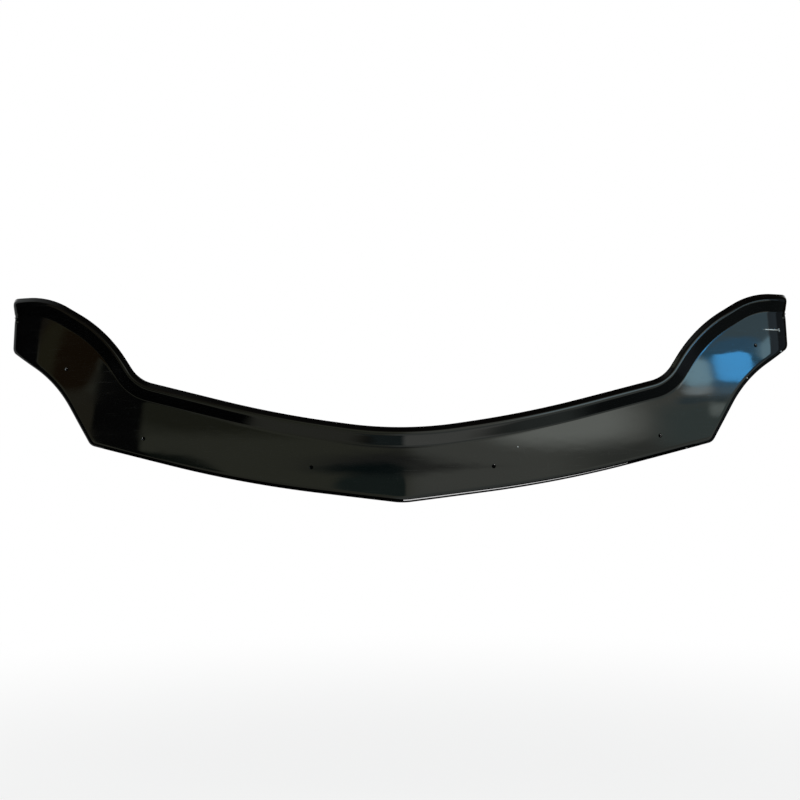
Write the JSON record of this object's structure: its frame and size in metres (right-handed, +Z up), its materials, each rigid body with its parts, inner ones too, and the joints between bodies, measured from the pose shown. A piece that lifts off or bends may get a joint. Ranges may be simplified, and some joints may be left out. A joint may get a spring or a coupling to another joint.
{
  "type": "hood bug deflector",
  "caption": "Bowed gloss black hood bug deflector: a thin formed sheet with a forward brow, raised wings, a rolled lower edge and screw holes.",
  "frame": {"origin": "middle of the line between the two inner screw holes, halfway through the sheet's thickness at those holes", "axes": "+X runs across the car, to the right as seen from in front; the outer face looks along -Y; +Z is up as mounted"},
  "size_m": [1.4008, 0.2235, 0.3626],
  "materials": {
    "shield": "polished black"
  },
  "bodies": {
    "root": {"shield": "shield"}
  },
  "joints": []
}
